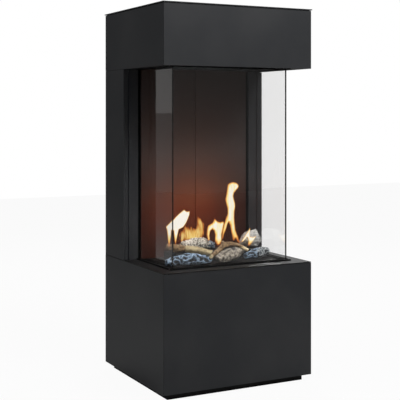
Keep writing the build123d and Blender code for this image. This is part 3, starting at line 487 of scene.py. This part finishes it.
def keep_value(body, name, values, kind="FLOAT"):
    """Store a value at each point, for the material to read."""
    attribute = body.data.attributes.new(name, kind, "POINT")
    attribute.data.foreach_set("value" if kind == "FLOAT" else "vector", np.ravel(values).astype(np.float32))


print("log helpers ready")

# %% [markdown]
# Carving pushes the skin in and out by a procedural texture. How far it went is kept at each point
# as its relief, so the material can blacken the grooves and lighten the ridges in the same places:
# painted shade in the grooves and painted highlights on the ridges.

# %% Carving
def texture(kind, size):
    """A procedural texture for displacement; its size is in metres."""
    made = bpy.data.textures.new(f"{kind.lower()}_{size}", kind)
    made.noise_scale = size
    if kind == "CLOUDS":
        made.noise_depth = 2
    if kind == "MUSGRAVE":
        made.musgrave_type = "RIDGED_MULTIFRACTAL"
        made.octaves, made.dimension_max, made.noise_intensity = 1.6, 1.2, 0.8
    return made


def displace(body, kind, size, strength, middle=0.5):
    """Push the skin along its normals by a texture, and apply it."""
    bpy.ops.object.modifier_add(type="DISPLACE")
    push = body.modifiers[-1]
    push.texture = texture(kind, size)
    push.texture_coords = "LOCAL"
    push.strength = strength
    push.mid_level = middle
    bpy.ops.object.modifier_apply(modifier=push.name)


def carve(body, lumps, cuts):
    """Broad lumps first, then the cuts whose depth the material reads."""
    for step in lumps:
        displace(body, *step)
    smooth, outward = coordinates(body), directions(body)
    for step in cuts:
        displace(body, *step)
    moved = ((coordinates(body) - smooth) * outward).sum(1)
    low, high = np.percentile(moved, (2, 98))
    keep_value(body, "relief", np.clip((moved - low) / max(high - low, 1e-6), 0, 1))


def keep_grain(body, points):
    """Coordinates of the straightened log: along it, and across it in two directions."""
    line = np.array(points) / MM_PER_M
    places = coordinates(body)
    best = np.full(len(places), FAR)
    grain = np.zeros((len(places), 3))
    length = 0.0
    for start, end in zip(line[:-1], line[1:]):
        run = np.linalg.norm(end - start)
        ahead = (end - start) / run
        across = np.cross(ahead, (0, 0, 1))
        across /= np.linalg.norm(across)
        up = np.cross(across, ahead)
        rest = places - start
        t = np.clip(rest @ ahead, 0, run)
        gap = np.linalg.norm(rest - t[:, None] * ahead, axis=1)
        near = gap < best
        best[near] = gap[near]
        grain[near] = np.stack([length + rest @ ahead, rest @ across, rest @ up], 1)[near]
        length += run
    keep_value(body, "grain", grain, "FLOAT_VECTOR")


def saw(body, point, outward, material):
    """Cut the end of a log flat, and show its pale heartwood there."""
    bpy.ops.object.mode_set(mode="EDIT")
    bpy.ops.mesh.select_all(action="SELECT")
    bpy.ops.mesh.bisect(plane_co=tuple(v / MM_PER_M for v in point), plane_no=outward, use_fill=True,
                        clear_outer=True)
    bpy.ops.object.mode_set(mode="OBJECT")
    if body.data.materials.find(material.name) < 0:
        body.data.materials.append(material)
    fresh = [face for face in body.data.polygons if face.select]
    for face in fresh:
        face.material_index = body.data.materials.find(material.name)
        face.use_smooth = False
    return len(fresh)


def turn_at(body, edge, material):
    """Give the skin right of a wavering line another finish, as where char or peeled bark begins."""
    if body.data.materials.find(material.name) < 0:
        body.data.materials.append(material)
    index = body.data.materials.find(material.name)
    for face in body.data.polygons:
        x, y, z = face.center
        if x + 0.006 * math.sin(400 * z) + 0.004 * math.sin(530 * y + 700 * z) > edge:
            face.material_index = index


print("carving helpers ready")

# %% [markdown]
# Two node groups colour the logs. Char is black with blue-grey ridges and pale blue crests: painted
# shade in the grooves and painted highlights on the ridges and crests, over the char's own black and
# some real ash. Bark is streaked along the grain and stained dark where the fire has licked it, and is
# lighter on its ridges and darker in its grooves: painted highlight and painted shade. With pale
# colours it gives ash and heartwood as well.

# %% Char
def reader(tree, name):
    """A value that was kept at each point."""
    return add_node(tree, "ShaderNodeAttribute", attribute_name=name)


char, given, out = new_group(
    "log_char",
    [("Groove", COLOR, (0.004, 0.005, 0.007, 1)), ("Ridge", COLOR, (0.105, 0.16, 0.23, 1)),
     ("Ash And Highlight", COLOR, (0.36, 0.45, 0.54, 1)), ("Ash And Highlight Amount", FLOAT, 0.45)],
    [("Color", COLOR), ("Roughness", FLOAT), ("Height", FLOAT)],
)
place = add_node(char, "ShaderNodeTexCoord").outputs["Object"]
relief = reader(char, "relief").outputs["Fac"]
grit = noise(char, place, 420.0, 4.0, 0.6)
# Painted shade and painted highlight: darker in the grooves, lighter blue-grey on the ridges, by the
# carving's relief.
ridge = spread(char, maths(char, "ADD", relief, maths(char, "MULTIPLY", grit, 0.25)), 0.35, 0.85)
body_tone = mix_color(char, ridge, given["Groove"], given["Ridge"])
# Painted highlight over some real ash: pale blue-grey on the highest crests.
crest = spread(char, maths(char, "ADD", relief, grit), 1.05, 1.45)
ash_and_highlight = maths(char, "MULTIPLY", crest, given["Ash And Highlight Amount"])
feed(char, out["Color"], mix_color(char, ash_and_highlight, body_tone, given["Ash And Highlight"]))
feed(char, out["Roughness"], spread(char, ridge, 0.0, 1.0, 0.8, 0.5))
feed(char, out["Height"], grit)

# %% Bark and ash
bark, given, out = new_group(
    "log_bark",
    [("Light", COLOR, (0.30, 0.21, 0.12, 1)), ("Dark", COLOR, (0.05, 0.03, 0.018, 1)),
     ("Stain", COLOR, (0.02, 0.018, 0.018, 1)), ("Streak Scale", FLOAT, 260.0), ("Stain Amount", FLOAT, 0.5),
     ("Mottle Scale", FLOAT, 60.0)],
    [("Color", COLOR), ("Roughness", FLOAT), ("Height", FLOAT)],
)
grain = reader(bark, "grain").outputs["Vector"]
relief = reader(bark, "relief").outputs["Fac"]
streaks = noise(bark, stretched(bark, grain, (0.12, 1, 1)), given["Streak Scale"], 4.0, 0.6)
mottle = noise(bark, grain, given["Mottle Scale"], 5.0, 0.65)
# Relief makes the ridges lighter and the grooves darker: painted highlight and painted shade, mixed with the
# grain's streaks.
tone = maths(bark, "ADD", maths(bark, "MULTIPLY", streaks, 0.55), maths(bark, "MULTIPLY", relief, 0.45))
wood = mix_color(bark, spread(bark, tone, 0.32, 0.68), given["Dark"], given["Light"])
stain = maths(bark, "MULTIPLY", spread(bark, mottle, 0.5, 0.66), given["Stain Amount"])
feed(bark, out["Color"], mix_color(bark, stain, wood, given["Stain"]))
feed(bark, out["Roughness"], spread(bark, tone, 0.2, 0.8, 0.9, 0.7))
feed(bark, out["Height"], maths(bark, "ADD", streaks, maths(bark, "MULTIPLY", mottle, 0.5)))
print("groups", char.name, bark.name)

# %% Log finishes
log_looks = {
    "charred": new_material("charred_log", char, {}, bump=0.0012, specular=0.35),
    "charred_grey": new_material("charred_grey_log", char, {
        "Groove": (0.012, 0.014, 0.017), "Ridge": (0.19, 0.21, 0.22), "Ash And Highlight": (0.42, 0.44, 0.44),
        "Ash And Highlight Amount": 0.7}, bump=0.0012, specular=0.3),
    "tan": new_material("tan_log", bark, {
        "Light": (0.42, 0.34, 0.20), "Dark": (0.24, 0.185, 0.10), "Stain": (0.09, 0.065, 0.035),
        "Stain Amount": 0.3, "Streak Scale": 120.0, "Mottle Scale": 35.0}, bump=0.0006, specular=0.2),
    "pale_ash": new_material("pale_ash_log", bark, {
        "Light": (0.58, 0.55, 0.48), "Dark": (0.14, 0.125, 0.10), "Stain": (0.045, 0.04, 0.04),
        "Stain Amount": 0.6, "Streak Scale": 260.0, "Mottle Scale": 90.0}, bump=0.0012, specular=0.2),
    "ash": new_material("ash_log", bark, {
        "Light": (0.33, 0.29, 0.235), "Dark": (0.07, 0.056, 0.042), "Stain": (0.02, 0.019, 0.02),
        "Stain Amount": 0.95, "Streak Scale": 150.0, "Mottle Scale": 22.0}, bump=0.0012, specular=0.2),
    "stone_ash": new_material("stone_ash_log", bark, {
        "Light": (0.52, 0.51, 0.48), "Dark": (0.24, 0.235, 0.22), "Stain": (0.10, 0.095, 0.09),
        "Stain Amount": 0.45, "Streak Scale": 240.0, "Mottle Scale": 120.0}, bump=0.001, specular=0.2),
    "bark": new_material("bark_log", bark, {
        "Light": (0.25, 0.155, 0.075), "Dark": (0.07, 0.04, 0.018), "Stain": (0.36, 0.29, 0.2),
        "Stain Amount": 0.3, "Streak Scale": 200.0, "Mottle Scale": 40.0}, bump=0.0008, specular=0.25),
    "heartwood": new_material("heartwood", bark, {
        "Light": (0.72, 0.60, 0.38), "Dark": (0.42, 0.32, 0.17), "Stain": (0.2, 0.15, 0.1),
        "Stain Amount": 0.2, "Streak Scale": 300.0, "Mottle Scale": 90.0}, bump=0.0004, specular=0.2),
}
print("log finishes", sorted(log_looks))

# %% [markdown]
# The logs lie where the construction has them: the heavy ones on the tray, the rear ones on the
# raised deck, the forked branch across the pile. The points lie within 3 mm of the construction's,
# but for the rear right log, which is drawn longer and thicker here and then sawn off. They are in
# millimetres, above the bed and behind the tray's centre line.

# %% Lay the logs
BED, TRAY_MIDDLE = 401.5, -49.0
LOG_VOXEL = 0.0013

log_plan = {
    "log_charred_left": dict(
        line=[(-203, -63, 11), (-177, -65, 15), (-143, -69, 19), (-111, -73, 19), (-79, -77, 16),
              (-50, -82, 11)],
        girths=[9, 15, 19, 18.5, 16, 8.5], look="charred", slot="log_charred",
        lumps=[("CLOUDS", 0.03, 0.006)], cuts=[("MUSGRAVE", 0.012, 0.0045, 0.6), ("CLOUDS", 0.006, 0.0015)]),
    "log_centre": dict(
        line=[(-33, -90, 12), (-5, -79, 18), (33, -63, 23), (68, -49, 27), (91, -40, 31)],
        girths=[13, 19, 23.5, 18.5, 11], look="ash", slot="log_ash",
        lumps=[("CLOUDS", 0.04, 0.012)], cuts=[("CLOUDS", 0.011, 0.005), ("CLOUDS", 0.004, 0.0018)]),
    "log_charred_right": dict(
        line=[(94, -57, 11), (124, -51, 15), (160, -43, 19.5), (196, -36, 20)],
        girths=[9, 15, 19.5, 12.5], look="charred", slot="log_charred", beyond=(0.146, "charred_grey"),
        lumps=[("CLOUDS", 0.03, 0.006)], cuts=[("MUSGRAVE", 0.010, 0.004, 0.6), ("CLOUDS", 0.005, 0.0015)]),
    "log_tan": dict(
        line=[(-107, -2, 44), (-80, -13, 40), (-52, -25, 34), (-22, -38, 26)],
        girths=[10.5, 12.8, 13, 9.5], look="tan", slot="log_tan",
        sawn=[((-24, -37, 27), (0.85, -0.35, -0.3))],
        lumps=[("CLOUDS", 0.03, 0.004)], cuts=[("CLOUDS", 0.012, 0.0022)]),
    "log_grey": dict(
        line=[(-97, 39, 46), (-62, 41, 50), (-27, 45, 51), (5, 49, 45), (31, 51, 39)],
        girths=[14, 19.5, 21.5, 15.5, 10], look="pale_ash", slot="log_ash", beyond=(0.006, "charred"),
        lumps=[("CLOUDS", 0.03, 0.008)], cuts=[("MUSGRAVE", 0.009, 0.0025, 0.5), ("CLOUDS", 0.005, 0.003)]),
    "log_small_left": dict(
        line=[(-161, 29, 52), (-141, 15, 45), (-122, 1, 44), (-109, -8, 43)],
        girths=[10.5, 12.5, 14, 10], look="bark", slot="log_bark",
        sawn=[((-158, 28, 51), (-0.75, 0.55, 0.3))],
        lumps=[("CLOUDS", 0.03, 0.004)], cuts=[("CLOUDS", 0.008, 0.0025)]),
    "log_rear_right": dict(
        line=[(122, 32, 46), (144, 29, 53), (168, 25, 58), (206, 22, 60)],
        girths=[6, 24, 31, 32], look="stone_ash", slot="log_ash",
        sawn=[((196, 22, 72), (0.79, -0.41, 0.45)), ((197, 22, 43), (0.75, -0.39, -0.52))],
        lumps=[("CLOUDS", 0.035, 0.008)], cuts=[("CLOUDS", 0.009, 0.003), ("CLOUDS", 0.003, 0.0012)]),
    "log_branch": dict(
        line=[(-59, -94, 24), (-28, -79, 37), (4, -63, 53), (27, -55, 57), (55, -51, 55), (74, -55, 49),
              (105, -63, 30)], girths=[5.6, 7, 9, 9.5, 7, 6.5, 6], look="bark", slot="log_bark",
        sawn=[((-56, -92, 25), (-0.5, -0.85, -0.1)), ((102, -62, 32), (0.8, -0.2, -0.55))],
        beyond=(0.078, "heartwood"),
        fork=([(16, -58, 54), (10, -57, 61), (5, -57, 68)], [8, 6, 4]),
        lumps=[("CLOUDS", 0.025, 0.003)], cuts=[("CLOUDS", 0.007, 0.0014)]),
}


def laid(points):
    """Points over the bed as points of the stove, in millimetres."""
    return [(x, TRAY_MIDDLE + y, BED + z) for x, y, z in points]


for name, plan in log_plan.items():
    line = laid(plan["line"])
    extra = [(laid(plan["fork"][0]), plan["fork"][1])] if "fork" in plan else []
    body = round_body(name.replace("log_", "wood_"), line, plan["girths"], LOG_VOXEL, extra)
    body.data.materials.clear()
    body.data.materials.append(log_looks[plan["look"]])
    carve(body, plan["lumps"], plan["cuts"])
    keep_grain(body, line)
    bpy.ops.object.shade_smooth()
    cut = sum(saw(body, laid([point])[0], outward, log_looks["stone_ash" if "rear" in name else "heartwood"])
              for point, outward in plan.get("sawn", []))
    if "beyond" in plan:
        turn_at(body, plan["beyond"][0], log_looks[plan["beyond"][1]])
    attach(body, "stove")
    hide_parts(name)
    print(body.name, len(body.data.polygons), "faces,", cut, "sawn")

# %% [markdown]
# A gas flame is a thin sheet of burning gas, brightest where one looks through most of it. Its
# outline is drawn as a flat shape, given a thin body and an even skin, and then swelled from its
# rim to its heart. The distance from the rim is kept at each point: thin rims glow orange and let
# the dark room show, hearts are white. The flames are a look only, so they replace no CAD node.
# Their outlines were read from the photograph, and the depth of each one was chosen.

# %% Flame colours
heat, given, out = new_group(
    "flame_heat",
    [("Reach", FLOAT, 5.0), ("Streaks", FLOAT, 0.5), ("Foot", FLOAT, 0.5), ("Peak", FLOAT, 1.0),
     ("Body", FLOAT, 0.9)],
    [("Color", COLOR), ("Alpha", FLOAT)])
place = add_node(heat, "ShaderNodeTexCoord").outputs["Object"]
rim = reader(heat, "rim").outputs["Fac"]
rise = reader(heat, "rise").outputs["Fac"]
licks = noise(heat, stretched(heat, place, (130, 1, 22)), 1.0, 2.0)
licks = maths(heat, "MULTIPLY", maths(heat, "SUBTRACT", licks, 0.5), given["Streaks"])
inward = maths(heat, "MINIMUM", maths(heat, "DIVIDE", rim, given["Reach"]), 1.0)
foot = maths(heat, "ADD", given["Foot"], spread(heat, rise, 0.0, 0.4))
strength = maths(heat, "MULTIPLY", maths(heat, "ADD", maths(heat, "MULTIPLY", inward, given["Peak"]), licks),
                 maths(heat, "MINIMUM", foot, 1.0))
ramp = add_node(heat, "ShaderNodeValToRGB")
feed(heat, ramp.inputs[0], strength)
stops = [(0.0, (0.55, 0.10, 0.01)), (0.2, (0.86, 0.30, 0.06)), (0.42, (1.0, 0.66, 0.17)),
         (0.62, (1.0, 0.86, 0.42)), (0.85, (1.0, 0.95, 0.86))]
for index, (spot, tint) in enumerate(stops):
    marks = ramp.color_ramp.elements
    mark = marks[index] if index < 2 else marks.new(1.0)
    mark.position, mark.color = spot, (*tint, 1)
feed(heat, out["Color"], ramp.outputs[0])
feed(heat, out["Alpha"], maths(heat, "MULTIPLY", spread(heat, strength, -0.02, 0.4), given["Body"]))
print("flame ramp", [round(mark.position, 2) for mark in ramp.color_ramp.elements])

# %% A flame finish
def flame_finish(name, **values):
    """Light without a surface of its own: it shines, and what is behind shows through its rims."""
    made = bpy.data.materials.new(name)
    made.use_nodes = True
    tree = made.node_tree
    shader = tree.nodes["Principled BSDF"]
    shader.inputs["Base Color"].default_value = (0, 0, 0, 1)
    shader.inputs["Specular IOR Level"].default_value = 0.0
    shader.inputs["Roughness"].default_value = 1.0
    shader.inputs["Emission Strength"].default_value = 1.0
    finish = add_node(tree, "ShaderNodeGroup", node_tree=heat)
    for title, value in values.items():
        finish.inputs[title].default_value = value
    feed(tree, shader.inputs["Emission Color"], finish.outputs["Color"])
    feed(tree, shader.inputs["Alpha"], finish.outputs["Alpha"])
    return made


flame_looks = {
    "hot": flame_finish("flame_hot", Reach=3.2, Streaks=0.3, Foot=-0.15),
    "bright": flame_finish("flame_bright", Reach=8.0, Streaks=1.0, Foot=0.3, Peak=0.78),
    "mild": flame_finish("flame_mild", Reach=13.0, Streaks=1.7, Foot=0.55, Peak=0.34, Body=0.62),
}
print("flame finishes", sorted(flame_looks))

# %% Shape a flame
SHEET = 0.001
SWELL = 0.40
RIM_HALF = 0.0003
FLAME_VOXEL = 0.0008


def rim_distance(places, outline):
    """How far each point is from the outline, both in metres on the flame's plane."""
    best = np.full(len(places), FAR)
    for start, end in zip(outline, np.roll(outline, -1, axis=0)):
        run = end - start
        t = np.clip((places - start) @ run / (run @ run), 0, 1)
        best = np.minimum(best, np.linalg.norm(places - start - t[:, None] * run, axis=1))
    return best


def flame(name, plane, points, look):
    """A swelled sheet of flame on a plane that faces the front, in millimetres."""
    curve = bpy.data.curves.new(name, "CURVE")
    curve.dimensions = "2D"
    curve.fill_mode = "BOTH"
    curve.extrude = SHEET
    spline = curve.splines.new("POLY")
    spline.points.add(len(points) - 1)
    for knot, (x, z) in zip(spline.points, points):
        knot.co = (x / MM_PER_M, z / MM_PER_M, 0, 1)
    spline.use_cyclic_u = True
    body = bpy.data.objects.new(name, curve)
    bpy.context.collection.objects.link(body)
    bpy.ops.object.select_all(action="DESELECT")
    body.select_set(True)
    bpy.context.view_layer.objects.active = body
    bpy.ops.object.convert(target="MESH")
    body = bpy.context.object
    bpy.ops.object.modifier_add(type="REMESH")
    body.modifiers[-1].voxel_size = FLAME_VOXEL
    bpy.ops.object.modifier_apply(modifier=body.modifiers[-1].name)
    flat = coordinates(body)
    rim = rim_distance(flat[:, :2], np.array(points) / MM_PER_M)
    side = np.clip(flat[:, 2] / SHEET, -1, 1)
    swelled = np.stack([flat[:, 0], plane / MM_PER_M - side * (RIM_HALF + SWELL * rim), flat[:, 1]], 1)
    body.data.vertices.foreach_set("co", swelled.ravel())
    keep_value(body, "rim", rim * MM_PER_M)
    keep_value(body, "rise", (flat[:, 1] - flat[:, 1].min()) / np.ptp(flat[:, 1]))
    bpy.ops.object.mode_set(mode="EDIT")
    bpy.ops.mesh.select_all(action="SELECT")
    bpy.ops.mesh.vertices_smooth(factor=0.5, repeat=4)
    bpy.ops.object.mode_set(mode="OBJECT")
    bpy.ops.object.shade_smooth()
    body.data.materials.clear()
    body.data.materials.append(flame_looks[look])
    body.visible_shadow = False
    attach(body, "stove")
    print(name, len(body.data.polygons), "faces, up to", round(flat[:, 1].max(), 3), "m")


# %% Light the flames
flame("flame_leaf", -75, [
    (-187, 525), (-177, 534), (-167, 543), (-154, 556), (-141, 567), (-129, 575), (-122, 580), (-117, 575),
    (-111, 572), (-106, 573), (-101, 574), (-102, 562), (-107, 549), (-114, 535), (-119, 528), (-125, 521),
    (-133, 517), (-142, 514), (-144, 506), (-147, 492), (-150, 479), (-152, 467), (-154, 458), (-157, 472),
    (-159, 493), (-161, 511), (-166, 513), (-167, 498), (-169, 480), (-171, 464), (-174, 446), (-177, 459),
    (-179, 478), (-180, 494), (-182, 511), (-184, 519)], "hot")
flame("flame_curtain", 25, [
    (-93, 459), (-90, 471), (-91, 483), (-88, 492), (-79, 496), (-71, 507), (-68, 515), (-64, 508),
    (-58, 508), (-52, 512), (-45, 508), (-36, 501), (-30, 502), (-27, 515), (-25, 532), (-20, 543),
    (-12, 536), (-4, 531), (4, 524), (7, 516), (6, 499), (5, 482), (3, 467), (-10, 458), (-32, 455),
    (-56, 454), (-75, 454)], "mild")
flame("flame_arch", -30, [
    (-9, 465), (-14, 484), (-13, 501), (-7, 516), (2, 521), (12, 526), (17, 540), (24, 532), (32, 528),
    (43, 525), (53, 528), (56, 521), (51, 502), (47, 481), (46, 459), (40, 447), (30, 443), (23, 450),
    (19, 463), (20, 480), (16, 495), (8, 501), (1, 495), (-2, 481), (1, 468), (-3, 462)], "bright")
flame("flame_tower", -50, [
    (56, 644), (59, 656), (66, 662), (77, 664), (91, 661), (100, 656), (104, 647), (100, 640), (91, 633),
    (84, 624), (81, 614), (84, 602), (88, 590), (88, 578), (85, 561), (85, 541), (87, 517), (89, 497),
    (94, 485), (100, 473), (106, 459), (111, 452), (102, 448), (95, 457), (90, 467), (83, 459), (78, 463),
    (75, 476), (71, 494), (67, 512), (63, 525), (58, 517), (52, 503), (45, 484), (39, 468), (33, 465),
    (34, 479), (38, 500), (44, 519), (51, 541), (57, 557), (56, 574), (51, 591), (49, 606), (52, 623)],
    "bright")
flame("flame_star", -60, [
    (104, 454), (113, 467), (127, 484), (135, 495), (142, 505), (142, 493), (140, 481), (141, 472),
    (152, 470), (168, 473), (159, 462), (150, 451), (142, 442), (133, 434), (132, 445), (135, 457),
    (133, 466), (129, 471), (121, 462), (113, 456)], "hot")

# %% [markdown]
# The fire lights its own room. Small warm lamps among the flames do that: most of their light
# goes to the back wall, which then has a rusty glow, and the logs get a little of it.

# %% Fire light
FIRE_ORANGE = (1.0, 0.27, 0.06)


def ember(name, place, power, radius, receivers=None):
    """A warm lamp in the flames, for all that is near or for some nodes only."""
    bpy.ops.object.light_add(type="POINT", location=place)
    lamp = bpy.context.object
    lamp.name = name
    lamp.data.energy = power
    lamp.data.color = FIRE_ORANGE
    lamp.data.shadow_soft_size = radius
    lamp.visible_camera = lamp.visible_glossy = lamp.visible_transmission = False
    if receivers:
        lit = bpy.data.collections.new(name + "_lit")
        for node in receivers:
            lit.objects.link(nodes[node])
        lamp.light_linking.receiver_collection = lit
    return lamp


room = ["back_wall_left", "back_wall_right"]
ember("glow_left", (-0.10, -0.03, 0.56), 2.7, 0.05, room)
ember("glow_centre", (0.03, -0.03, 0.57), 3.7, 0.05, room)
ember("coals_left", (-0.10, -0.02, 0.52), 0.04, 0.03)
ember("coals_right", (0.06, -0.02, 0.52), 0.05, 0.03)
